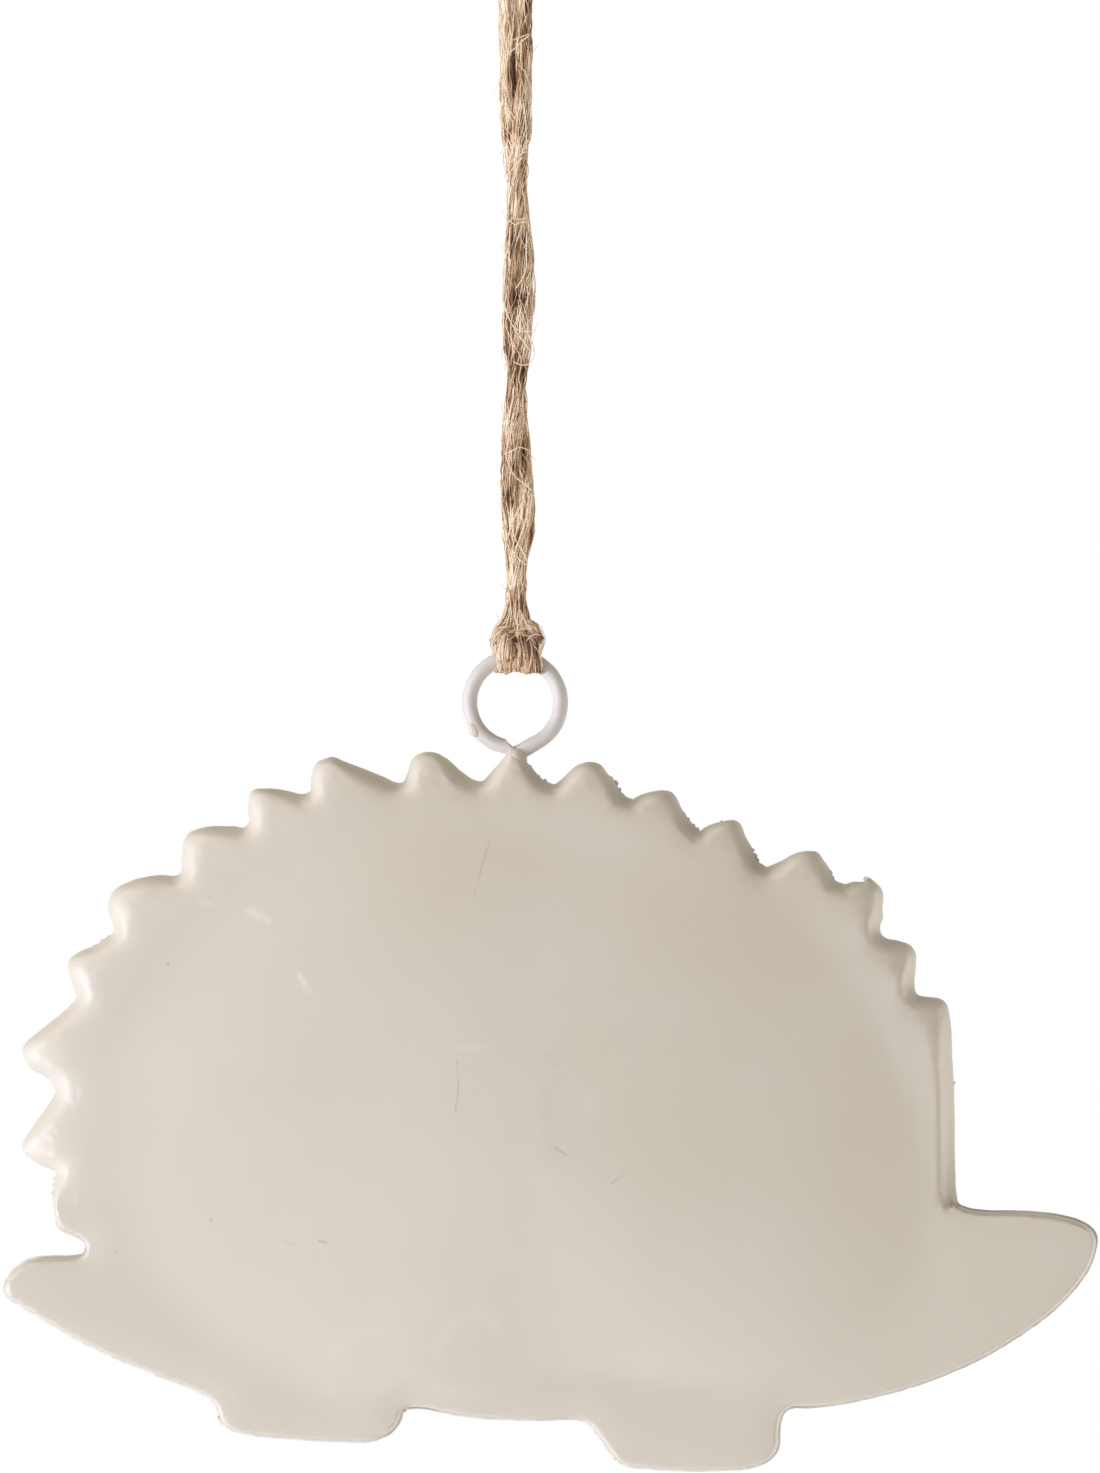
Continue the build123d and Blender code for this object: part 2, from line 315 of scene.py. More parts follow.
def fuzz(bundle, path, count, reach, radius, seed, keepClear):  # short fibres that stand off a strand
    dice = np.random.default_rng(seed)
    line, marks = evenSteps(path, 0.5)
    sides, ups = sidesOf(line)
    runs = np.gradient(line, axis=0)
    runs /= np.linalg.norm(runs, axis=1)[:, None]
    for _ in range(count):
        i = dice.integers(1, len(line) - 1)
        angle = dice.uniform(0, 2 * math.pi)
        out = sides[i] * math.cos(angle) + ups[i] * math.sin(angle)
        across = ups[i] * math.cos(angle) - sides[i] * math.sin(angle)
        long = dice.uniform(*jute["strayLong"])
        way = runs[i] * dice.choice((-1, 1)) + across * dice.uniform(-0.7, 0.7)
        lift = dice.uniform(0.05, reach)
        steps = np.linspace(0, 1, jute["strayPoints"])[:, None]
        foot = line[i] + out * radius * 0.88
        bow = out * lift * np.sin(steps * dice.uniform(1.6, 3.1)) + way * long * steps
        curl = across * dice.uniform(-0.4, 0.4) * steps ** 2
        thick = dice.uniform(*jute["stray"]) * 0.85
        layFibre(bundle, keepClear(foot + bow + curl, thick), thick * np.linspace(1, 0.45, len(steps)),
                 dice.uniform(0.6, 1.0))


def twineBundle(paths, firstSeed, twine, keepClear=anywhere):
    # a strand along each path, with the fibres felted on it and those that stand off
    bundle = []
    for seed, path in enumerate(paths, firstSeed):
        layStrand(bundle, path, seed, twine["radius"], keepClear, twine["fray"])
        mat(bundle, path, twine["matPerMm"], seed + 40, twine["radius"], keepClear)
        fuzz(bundle, path, *twine["fuzz"], seed + 20, keepClear)
    return bundle


def bundleMesh(bundle, name, paintedShade=()):
    # all fibres of a bundle as round tubes in one mesh, with each one's tone, darkened at the front by painted shade in
    # the hollows, whose places are read off the photo and whose half widths and heights are in tenths of a mm
    curve = newCurve(name)
    curve.bevel_depth, curve.bevel_resolution, curve.use_fill_caps = mm, 0, True
    tones = []
    for places, radii, tone in bundle:
        spline = newSpline(curve, "POLY", len(places))
        spline.points.foreach_set("co", np.c_[places * mm, np.ones(len(places))].ravel())
        spline.points.foreach_set("radius", radii)
        tones.append(np.full(len(places) * 4 + 8, tone))
    mesh = meshOfCurve(curve)
    tones = np.concatenate(tones)
    if len(tones) != len(mesh.vertices):
        raise RuntimeError(f"{name}: {len(tones)} tones for {len(mesh.vertices)} points")
    spots = np.empty(len(mesh.vertices) * 3)
    mesh.vertices.foreach_get("co", spots)
    spots = spots.reshape(-1, 3) / mm
    # painted shade: tones near each spot on the front are lowered by so much, where shade falls in the hollows
    for spot, wide, tall, depth in paintedShade:
        x, _, z = fromPhoto([spot], 0)[0]
        near = np.exp(-((spots[:, 0] - x) / (wide * 0.1)) ** 2 - ((spots[:, 2] - z) / (tall * 0.1)) ** 2)
        tones -= depth * near * (spots[:, 1] < 0)
    mesh.attributes.new("tone", "FLOAT", "POINT").data.foreach_set("value", tones)
    bm = bmesh.new()
    bm.from_mesh(mesh)
    bmesh.ops.remove_doubles(bm, verts=bm.verts[:], dist=1e-6)
    bm.to_mesh(mesh)
    bm.free()
    return mesh


def juteMaterial():
    # Jute: retted bast fibre, spun loosely and left raw, so dry and matt, each fibre its own straw or brown,
    # with patches that retted darker and streaks drawn out along the cord
    material, tree, place = newMaterial("raw jute")
    # the tone attribute carries painted shade: the dark heart, the darker inner layer and the darkened hollows
    tone = addNode(tree, "ShaderNodeAttribute", attribute_name="tone").outputs["Fac"]
    drawn = addNode(tree, "ShaderNodeMapping", {"Vector": place, "Scale": (1, 1, 0.1)}).outputs[0]
    patches, streaks = noisePattern(tree, place, 320.0, 1.0), noisePattern(tree, drawn, 1800.0, 2.0)
    shade = maths(tree, "ADD", tone, maths(tree, "MULTIPLY_ADD", patches, 1.5, -0.70))
    shade = maths(tree, "ADD", shade, maths(tree, "MULTIPLY_ADD", streaks, 0.5, -0.25))
    colour = colourRamp(tree, shade, [(0.0, "#684A31"), (0.2, "#B0865C"), (0.45, "#E5C299"), (0.72, "#F3D9B6"),
                                      (1.0, "#F8E5CA")])
    return closeMaterial(material, tree, colour, streaks, 0.35, 0.05, {
        "Roughness": 0.62, "Specular IOR Level": 0.4, "Sheen Weight": 0.15, "Sheen Roughness": 0.5})


juteFinish = juteMaterial()

# Legs: two strands laid round each other, from the hitch up to where they part
legsTwine = {"radius": 0.84, "fray": (2.4, 0), "matPerMm": 4, "fuzz": (110, 0.28, 0.85)}  # count, reach, radius
legsLine = smoothLine([(0, 0, -94.0), (0.12, 0, -86), (-0.05, 0, -74), (0.1, 0, -60), (0.12, 0, -45), (0, 0, -34),
                       (0, 0, -27.5)])
# angle between the strands and the viewer's left and right, at heights read along the cord
legsTurn = {"height": [-94, -90.5, -86.5, -82, -77, -74, -71.5, -68.5, -63.5, -59.5, -57, -53.4, -49.8, -47, -40.3,
                       -27.5],
            "degrees": [90, 100, 165, 185, 235, 262, 278, 330, 360, 395, 430, 450, 468, 515, 540, 540]}
# how far each strand's middle is from the cord's, and how far that sways aside, in mm
legsArm = {"height": [-94, -86, -81, -77, -70, -64, -59, -53, -47, -40, -34, -27.5],
           "mm": [0.74, 0.74, 0.66, 0.55, 0.56, 0.66, 0.64, 0.72, 0.66, 0.66, 0.70, 0.95],
           "aside": [0.02, 0.25, 0.1, 0.05, 0.15, 0.3, 0.2, 0.1, -0.05, 0.0, -0.02, 0.0]}


def legsPaths():
    line, marks = evenSteps(legsLine, 0.5)
    turn = np.radians(np.interp(line[:, 2], legsTurn["height"], legsTurn["degrees"]))
    turn = runningMean(turn, 3)
    turn[0], turn[-1] = math.pi / 2, 3 * math.pi
    arm = np.interp(line[:, 2], legsArm["height"], legsArm["mm"])
    arm = arm[:, None] * np.c_[np.cos(turn), np.sin(turn), np.zeros(len(turn))]
    line = line + np.outer(np.interp(line[:, 2], legsArm["height"], legsArm["aside"]), (1, 0, 0))
    sunk = np.array([(0, 0, -1.6), (0, 0, -0.8)])  # the ends run on a little into the hitch
    return [np.r_[line[0] + side * arm[0] * 0.9 + sunk, line + side * arm] for side in (1, -1)]


legs = twineBundle(legsPaths(), 11, legsTwine)
legStrays = [
    ([(499, 47), (511, 42), (520, 38), (531, 35)], 2.0),
    ([(505, 57), (516, 49), (524, 40), (531, 36)], 2.05),
    ([(507, 226), (513, 216), (520, 222), (528, 217)], 1.55),
    ([(508, 219), (515, 228), (522, 220), (529, 224)], 1.6),
    ([(527, 232), (526, 250), (527, 268), (522, 282), (515, 290)], 2.0),
    ([(503, 300), (508, 318), (515, 330), (526, 333), (533, 331)], 2.0),
    ([(527, 332), (536, 350), (532, 364), (520, 367), (512, 361)], 2.0),
    ([(514, 330), (523, 340), (530, 352)], 2.0),
    ([(505, 450), (507, 462), (515, 478), (527, 486), (533, 492)], 2.0),
    ([(531, 452), (521, 446), (513, 451), (503, 455)], 1.9),
    ([(506, 500), (510, 520), (515, 540), (524, 552), (527, 562)], 2.0),
    ([(524, 500), (512, 520), (508, 540)], 2.0),
    ([(528, 515), (517, 545), (512, 565), (509, 580)], 1.9),
    ([(511, 548), (519, 562), (528, 566)], 1.8),
    ([(512, 560), (515, 590), (513, 618)], 1.4),
    ([(520, 560), (518, 590), (521, 620)], 1.4),
    ([(509, 165), (516, 156), (527, 152)], 1.9),
    ([(509, 175), (517, 162), (524, 158)], 1.9),
]
layStrays(legs, legStrays, 0.06)
# painted shade in the hollows between the two strands: place, half width, height and how much darker
legsPaintedShade = [((514, 78), 5, 24, 0.65), ((523, 58), 3, 10, 0.5), ((506, 136), 5, 9, 0.55), ((512, 222), 4, 5, 0.6),
               ((517, 303), 8, 9, 0.6), ((518, 352), 4, 10, 0.4), ((524, 379), 4, 12, 0.4), ((525, 443), 6, 14, 0.45),
               ((520, 468), 11, 9, 0.6), ((509, 502), 6, 10, 0.45), ((522, 560), 4, 12, 0.3)]
cordLegs = dressPiece(bundleMesh(legs, "cordLegs", legsPaintedShade), "cordLegs", juteFinish, None)
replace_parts(cordLegs, "cord_legs")
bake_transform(cordLegs)
print("cord legs laid")

# Eye: one strand each side, from the fork out round the hook and in to the knot
eyeRoute = [(1.0, 0, -27.5), (1.0, 0, -24.3), (4.6, 0, -16.0), (4.4, 0, -8.2), (1.0, 0, -0.6), (1.0, 0, 3.0)]
eyeTwine = {"radius": jute["fullRadius"], "fray": (0, 0), "matPerMm": 7, "fuzz": (60, 0.3, 0.95)}
eyeStrands = []
for name, side, seed in (("cordEyeRight", 1, 31), ("cordEyeLeft", -1, 32)):
    path = smoothLine([(x * side, y, z) for x, y, z in eyeRoute])
    strand = dressPiece(bundleMesh(twineBundle([path], seed, eyeTwine), name), name, juteFinish, "cord")
    eyeStrands.append((strand, path))
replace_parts(eyeStrands[0][0], "cord_eye")

# Knot: two turns round the strands, and two tails with frayed ends
knotTwine = {"radius": 0.88, "fray": (0, 0), "matPerMm": 6, "fuzz": (50, 0.3, 0.95)}
knotTurns = [
    [(1.0, 0, 3.0), (1.5, -0.9, 3.6), (0.2, -1.9, 4.6), (-1.6, -1.2, 5.6), (-1.8, 0.9, 6.0), (0, 1.9, 5.6),
     (1.8, 1.0, 5.0), (1.7, -0.8, 5.6), (0.4, -1.5, 6.8), (-0.6, -0.6, 7.6), (1.0, 0, 8.6), (1.0, 0, 10.4),
     (1.3, -0.3, 12.4), (2.2, -1.2, 16.0)],
    [(-1.0, 0, 3.0), (-1.5, 0.9, 3.5), (-0.3, 1.8, 4.2), (1.5, 1.3, 5.8), (1.9, -0.6, 6.8), (0.3, -1.9, 7.0),
     (-1.6, -0.9, 6.2), (-1.4, 0.8, 6.6), (-0.3, 1.2, 7.6), (-1.0, 0, 8.8), (-1.0, 0, 10.4), (-1.3, 0.3, 12.4),
     (-2.2, 1.2, 16.0)],
]
knot = twineBundle([smoothLine(turns) for turns in knotTurns], 41, knotTwine)
eyeKnot = dressPiece(bundleMesh(knot, "eyeKnot"), "eyeKnot", juteFinish, "cord")
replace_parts(eyeKnot, "eye_knot")
print("cord eye and knot laid")


# Hitch: each half goes from the bar over the ring's wire, back under it and up behind the bar
hitchTwine = {"radius": 0.88, "fray": (0, 2.0), "matPerMm": 9, "fuzz": (24, 0.12, 0.7)}
# what its fibres keep off the wire, the heights between which the pull stops pressing them flat against it, all in
# mm, what is left of their reach there, and the jump in angle, in radians, that tells a fibre going through the wire
clearance = {"gap": 0.12, "free": 1.6, "pressed": 0.2, "flat": 0.5, "jump": 0.45}
hitchHalves = [
    [(0, -1.8, 3.05), (1.0, -1.75, 2.95), (1.7, -1.3, 2.2), (1.95, -0.3, 1.2), (1.75, 0.9, 0.7), (1.3, 1.5, -0.1),
     (0.95, 1.0, -1.15), (0.95, -0.3, -1.4), (1.0, -1.25, -0.75), (1.0, -1.35, 0.4), (0.85, -1.0, 1.8),
     (0.5, -0.6, 3.3), (0.15, -0.85, 4.8), (0.05, -0.86, 6.1), (0.05, -0.8, 7.0)],
    [(0, -1.8, 3.05), (-0.9, -1.75, 2.95), (-1.45, -1.3, 2.2), (-1.65, -0.3, 1.2), (-1.5, 0.9, 0.7),
     (-1.2, 1.5, -0.1), (-0.9, 1.0, -1.15), (-0.9, -0.3, -1.4), (-0.9, -1.25, -0.75), (-0.9, -1.35, 0.4),
     (-0.8, -1.0, 1.8), (-0.5, -0.1, 3.3), (-0.2, 0.75, 4.8), (0.0, 0.86, 6.1), (0.0, 0.8, 7.0)],
]


def clearOfRing(places, fibre):  # pushes fibres off everything that the ring sweeps when it rocks
    local = np.array(places, float) - (0, 0, wireTopZ)
    rise = ringRadius - np.sqrt(np.maximum(ringRadius ** 2 - local[:, 0] ** 2, 0.1))
    need = rise + wireRadius + clearance["gap"] + fibre
    out = np.maximum(np.hypot(local[:, 1], local[:, 2]), 0.05)
    flat = need + (out - need) * clearance["flat"]
    pressed = smoothStep(clearance["free"], clearance["pressed"], local[:, 2])
    push = np.where(out < need, need / out, 1 + (flat / out - 1) * pressed)
    out, angle = out * push, np.unwrap(np.arctan2(local[:, 1], local[:, 2]))
    if np.abs(np.diff(angle)).max() > clearance["jump"]:
        angle = runningMean(angle, 4)
    local[:, 1], local[:, 2] = out * np.sin(angle), out * np.cos(angle)
    return local + (0, 0, wireTopZ)


def frontMat(bundle, count, seed):  # the turns' fibres, felted into one mat on the front of the wire
    dice = np.random.default_rng(seed)
    left, right, lockCount = -1.8, 2.5, 8
    steps = np.linspace(0, 1, 10)
    locks = dice.uniform((-0.3, 1.2, 0), (0.3, 3.2, 6), (lockCount, 3))  # how each lock of fibres sways together
    for i in range(count):
        x = dice.uniform(left, right)
        lean, turns, start = locks[min(int((x - left) / 0.54), lockCount - 1)]
        thick = dice.uniform(0.05, 0.10)
        first, last = dice.uniform(30, 62), dice.uniform(-112, -72)  # degrees round the wire, from its front
        if i % 4 == 0:
            first, last = dice.uniform(0, 60), dice.uniform(-100, -20)
        angle = np.radians(first + (last - first) * steps)
        reach = dice.uniform(1.55, 1.95) - 0.35 * abs(x / 2.4) ** 3 + 0.12 * np.sin(dice.uniform(2, 7) * steps + i)
        sway = x * (0.78 + 0.22 * steps) + lean * (steps - 0.3) + 0.22 * np.sin(turns * steps + start)
        sway = sway + dice.normal(0, 0.3) * (steps - 0.5)
        sway = sway + dice.uniform(0.05, 0.3) * np.sin(dice.uniform(2, 7) * steps + i)
        places = np.c_[sway + 0.05, -reach * np.cos(angle), reach * np.sin(angle) + wireTopZ]
        radii = thick * np.interp(steps, (0, 0.15, 0.85, 1), (0.4, 1, 1, 0.4))
        layFibre(bundle, clearOfRing(places, thick), radii, dice.beta(1.6, 1.5) * (0.95 if x < -0.7 else 0.72))


def neckFibres(bundle, count, seed):  # fibres that run down the neck and over the bar, between the two halves
    dice = np.random.default_rng(seed)
    for _ in range(count):
        x, foot = dice.uniform(-0.6, 0.85), dice.normal(0, 0.3)
        layStray(bundle, [(x, -1.6, dice.uniform(-94.6, -93.4)), (x * 1.05 + foot * 0.4, -1.95, -95.7),
                          (x * 1.1 + foot, -2.45, -96.6),
                          (x * 1.15 + foot * 1.8, -2.72, dice.uniform(-97.6, -97.0))],
                 dice.uniform(0.05, 0.09), dice.beta(1.9, 1.5), clearOfRing)


hitchPaths = [smoothLine([(x + 0.1, y, z + wireTopZ) for x, y, z in half]) for half in hitchHalves]
hitch = twineBundle(hitchPaths, 51, hitchTwine, clearOfRing)
frontMat(hitch, 270, 58)
hitchStrays = [
    ([(520, 606), (517, 618), (518, 632), (513, 639), (507, 640)], 2.9),
    ([(518, 606), (523, 618), (529, 628), (533, 633)], 2.9),
    ([(526, 642), (531, 635), (538, 634), (541, 636)], 2.9),
    ([(533, 644), (539, 650), (542, 662), (543, 672)], 2.6),
    ([(515, 644), (518, 640), (517, 648)], 2.8),
]
neckFibres(hitch, 34, 77)
layStrays(hitch, hitchStrays, 0.055, clearOfRing)
# painted shade on the hitch's front and painted shadow under its bar: place, half width, height and how much darker
hitchPaintedShade = [((517, 645), 60, 60, 0.16), ((520, 639), 13, 4, 0.7), ((516, 655), 9, 13, 0.4), ((521, 668), 3, 5, 0.3),
                ((500, 647), 3, 5, 0.35), ((539, 648), 4, 6, 0.4), ((519, 614), 3, 6, 0.3)]
cordHitch = dressPiece(bundleMesh(hitch, "cordHitch", hitchPaintedShade), "cordHitch", juteFinish, "hitch")
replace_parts(cordHitch, "cord_hitch")
print("hitch laid")


# Pressed shells
shell = {
    "grid": 0.45,  # mm
    "seamHalf": 0.15,  # mm from the seam plane to the shell's rim
    "wall": 3.0,  # mm from the seam plane to the brim
    "sheet": 0.4,
    # for the spines on the left, those at the top right, below, and the snout side's flat flanks
    "roll": (1.9, 1.7, 0.36, 1.7),  # mm, width of the rolled edge
    "rollPower": (2.6, 2.6, 2.4, 1.4),  # low leaves a flat flank with a crease inside it, high a soft roll
    "puff": (4.6, 4.2, 3.5, 4.6),  # mm in from the edge over which the sheet still swells
    "puffShare": (0.28, 0.28, 0.08, 0.04),  # of the wall's height, left to that swelling
    "flange": (0.05, 0.2),  # mm of solder seam that shows outside the sheet, at the spines and below
    "ease": 1.5, "easeDeepest": 2.2,  # share of the distance inside, up to so many mm, that rounds a spine's ridge
    "rings": (0.03, 0.09, 0.2, 0.38, 0.62, 0.95, 1.35, 1.8, 2.4),  # mm in from the outline
    "rise": 2.75,  # mm, dome over brim
    "crownPower": 2.2,
    "domeMiddle": (-0.03, -144.8),
    "domeFoot": [(118, 1115), (140, 1015), (205, 925), (320, 850), (480, 824), (640, 850), (780, 905), (868, 985),
                 (900, 1100), (921, 1230), (890, 1325), (740, 1378), (520, 1382), (290, 1372), (185, 1310),
                 (130, 1215)],
}


# Outline of the pressed body in the photo's pixels, clockwise from the tail's tip. The points were chosen one by one on
# enlarged crops, with the silhouette's edge measured row by row as a help.
outlineReadings = {
    "tail": [
        (1.5, 1291), (3.5, 1283), (12, 1270), (29, 1258.5), (51, 1255.5), (77, 1254.6), (82.5, 1253),
        (84.5, 1248), (83.5, 1242.5), (79.5, 1239.5), (62, 1231.5), (56, 1227), (54, 1220), (52, 1203),
        (54, 1180), (56.5, 1172)],
    "spines": [
        [(28, 1157), (22, 1148.5), (24, 1141), (32.5, 1127), (52, 1099), (55.5, 1092), (54, 1087), (50, 1080)],
        [(41, 1074.5), (31, 1068.5), (25.5, 1061.5), (22.8, 1054), (23, 1047.5), (26.5, 1041.5), (35, 1034.5),
         (72.5, 1003), (76.5, 997), (75.5, 991)],
        [(68, 972), (68, 962), (77, 953), (95, 945), (105, 938), (112, 934), (114, 929)],
        [(109, 913), (108, 904), (112, 893), (128, 882), (161, 875), (178, 875), (181.5, 871)],
        [(182.5, 846), (186, 836), (196, 829.5), (234, 826.5), (244, 827.5), (249, 823)],
        [(248.5, 800), (252, 791), (261, 788.5), (291, 791.5), (305, 794), (311, 791)],
        [(312, 772), (316, 763.5), (324, 759), (332, 756.7), (343, 760.7), (383, 776.5), (400, 783),
         (405, 780.5)],
        [(409, 768), (412.5, 759.5), (419, 754), (426.5, 752), (434, 752.5), (441, 755), (469, 777),
         (478, 781), (484, 780.5)],
        [(495, 768), (504, 757.5), (509, 749), (516, 747.5), (521, 751), (524, 760), (530, 765), (537, 774),
         (546, 781), (554.5, 784.6)],
        [(562, 779), (575, 767), (582, 763.5), (591, 762), (600.5, 765), (608, 774), (614.5, 780), (620, 790),
         (626, 796.5), (633, 799)],
        [(644.5, 793.5), (654, 791.2), (669, 791), (673.5, 794), (684, 812.5), (691, 822), (700, 830.7)],
        [(709, 825.4), (722, 821.5), (735, 820.5), (740, 824), (746, 837), (752, 848), (758, 861),
         (766.5, 867.3)],
        [(780, 861.6), (790, 856), (798, 852.5), (809, 851), (817.5, 852.4), (824, 861), (831, 871),
         (835, 880), (845, 884)],
        [(853.5, 881.7), (863, 881.7), (868.5, 878.5), (875, 882), (882, 890), (882.6, 912), (883, 918),
         (880.5, 926), (882, 935), (888, 939)],
        [(901, 941.7), (910, 945.5), (915.5, 953), (916, 964), (914.7, 986), (917, 994), (922, 996.5)],
    ],
    "head": [
        (930, 997), (939, 998.5), (946, 1003), (949, 1012), (952.5, 1059), (954, 1084), (955.3, 1169),
        (956.5, 1194), (958.5, 1202.5), (965, 1206.5), (982.5, 1209.6), (1022, 1210.6), (1060, 1214.5),
        (1080, 1220), (1090, 1225.5), (1096, 1232.5), (1098, 1240), (1096, 1253), (1090, 1268.5), (1076, 1289),
        (1051, 1314), (1026, 1332.5), (1002, 1348), (977.5, 1361.5), (953, 1372.5), (929, 1382), (904, 1390.2),
        (880, 1396.6), (840, 1405), (809, 1408.5), (793, 1408.5)],
    "feet": [
        (786, 1412), (782.5, 1419), (780.5, 1430), (780, 1446), (775, 1456), (756.5, 1467), (717, 1471),
        (686, 1471.4), (643, 1469), (624, 1466), (614, 1459), (596, 1435), (587, 1424.5), (578, 1420.5),
        (565, 1420), (539, 1421), (502, 1420), (472, 1418), (438, 1412), (426, 1409.5), (412, 1409),
        (405, 1411), (402, 1419), (399, 1425), (392, 1433), (380.5, 1439), (370, 1442.3), (348, 1442.3),
        (284, 1439), (238.5, 1433), (225, 1428), (218.5, 1421), (217, 1413), (211, 1402), (199.6, 1394),
        (161, 1378), (107, 1355.6), (70, 1337), (40, 1319.4), (22, 1308), (8, 1299)],
}


def smoothOutline():  # the readings joined by one smooth closed line, as x and z in mm
    spines = outlineReadings["spines"]
    valleys = [outlineReadings["tail"][-1]] + [spine[-1] for spine in spines]
    places = outlineReadings["tail"] + sum(spines, []) + outlineReadings["head"] + outlineReadings["feet"]
    curve = newCurve("outline", 5)
    spline = newSpline(curve, "BEZIER", len(places))
    for knot, spot, place in zip(spline.bezier_points, fromPhoto(places, 0), places):
        knot.co = spot
        knot.handle_left_type = knot.handle_right_type = "VECTOR" if place in valleys else "AUTO"
    spline.use_cyclic_u = True
    holder = bpy.data.objects.new("outline", curve)
    bpy.context.collection.objects.link(holder)
    bpy.context.view_layer.update()
    line = bpy.data.meshes.new_from_object(holder)
    loop = np.array([(v.co.x, v.co.z) for v in line.vertices])
    bpy.data.objects.remove(holder)
    bpy.data.meshes.remove(line)
    return loop


outline = smoothOutline()
print("outline of", len(outline), "points")


def outlineWall():  # the outline as an upright strip that distances are measured to
    bm = bmesh.new()
    posts = [bm.verts.new((x, -10, z)) for x, z in outline]
    rails = [bm.edges.new((posts[i - 1], posts[i])) for i in range(len(posts))]
    raised = bmesh.ops.extrude_edge_only(bm, edges=rails)["geom"]
    bmesh.ops.translate(bm, verts=only(raised, bmesh.types.BMVert), vec=(0, 20, 0))
    bmesh.ops.recalc_face_normals(bm, faces=bm.faces[:])
    tree = BVHTree.FromBMesh(bm)
    bm.free()
    return tree


wallTree = outlineWall()


def towardsEdge(x, z):  # distance inside the outline in mm, and the nearest place on it
    spot, normal, _, gap = wallTree.find_nearest((x, 0, z))
    return (gap if (Vector((x, 0, z)) - spot).dot(normal) * insideSign > 0 else -gap), spot


insideSign = 1
if towardsEdge(*shell["domeMiddle"])[0] < 0:
    insideSign = -1

domeFoot = np.array([(x, z) for x, _, z in fromPhoto(shell["domeFoot"], 0)]) - shell["domeMiddle"]
footAngles = np.arctan2(domeFoot[:, 1], domeFoot[:, 0])
turnsKept = range(1, 6)


def footWaves(angles):
    return np.stack([np.ones_like(angles)] + [f(k * angles) for k in turnsKept for f in (np.cos, np.sin)], axis=-1)


footFit = np.linalg.lstsq(footWaves(footAngles), np.hypot(*domeFoot.T), rcond=None)[0]


def easedInside(x, z):  # distances inside the outline, averaged around each place, so that ridges come out round
    cell, margin = 0.25, 3  # mm
    low = outline.min(0) - margin
    count = np.ceil((outline.max(0) + margin - low) / cell).astype(int)
    table = np.array([[towardsEdge(low[0] + cell * i, low[1] + cell * j)[0] for j in range(count[1])]
                      for i in range(count[0])])

    def look(x, z):
        a, b = (x - low[0]) / cell, (z - low[1]) / cell
        i, j = a.astype(int), b.astype(int)
        a, b = a - i, b - j
        return ((1 - a) * (1 - b) * table[i, j] + a * (1 - b) * table[i + 1, j] + (1 - a) * b * table[i, j + 1]
                + a * b * table[i + 1, j + 1])

    inside = np.maximum(look(x, z), 0)
    total, ways = 0, 12
    for share in (0.5, 1.0):
        reach = np.minimum(inside, shell["easeDeepest"]) * shell["ease"] * share
        for turn in np.arange(ways) * 2 * math.pi / ways:
            total = total + look(x + reach * math.cos(turn), z + reach * math.sin(turn))
    return np.maximum(total / (2 * ways), 0)


def pressedHeight(x, z, inside, outward, seed):  # how far the sheet stands out of the seam plane, in mm
    topLeft = smoothStep(-40, 30, (z + 145) * 0.75 - x * 0.65)
    flank = smoothStep(0.8, 0.97, outward) * smoothStep(32, 34, x) * (1 - smoothStep(45, 46.5, x))
    topRight = smoothStep(-15, 15, (z + 135) + x * 0.75)
    below = smoothStep(-150, -155.5, z)
    width, power, puff, share = [((left + (right - left) * topRight) * (1 - below) + low * below) * (1 - flank)
                                 + side * flank for left, right, low, side
                                 in (shell["roll"], shell["rollPower"], shell["puff"], shell["puffShare"])]
    roll = 1 - (1 - share) * (1 - np.clip(inside / width, 0, 1)) ** power - share * (
        1 - np.clip(inside / puff, 0, 1)) ** 2
    roll = roll + 0.12 * (1 - np.exp(-inside / 0.05)) * (1 - roll)  # the rim stands square on the seam
    height = shell["seamHalf"] + (shell["wall"] - shell["seamHalf"]) * roll
    dx, dz = x - shell["domeMiddle"][0], z - shell["domeMiddle"][1]
    share = np.hypot(dx, dz) / (footWaves(np.arctan2(dz, dx)) @ footFit)
    soft = 0.03 + 0.07 * topLeft
    crown = soft * np.logaddexp(0, (1 - share ** shell["crownPower"]) / soft)
    height += shell["rise"] * np.minimum(crown, 1) * smoothStep(0.5, 3.5, inside)
    waves = [noise.noise((a * 0.055, b * 0.055, seed)) * 0.05 + noise.noise((a * 0.17, b * 0.17, seed + 5)) * 0.014
             for a, b in zip(x, z)]
    return height + np.array(waves) * smoothStep(0.8, 4, inside)


def flangeAt(z):  # the solder seam shows more below, where the sheet was trimmed back
    return shell["flange"][0] + (shell["flange"][1] - shell["flange"][0]) * float(smoothStep(-152, -158, z))


def cutAt(bm, depth, slack, **settings):  # across all faces, where the points' y is so many mm
    bmesh.ops.bisect_plane(bm, geom=bm.verts[:] + bm.edges[:] + bm.faces[:], dist=slack, plane_co=(0, depth, 0),
                           plane_no=(0, 1, 0), **settings)


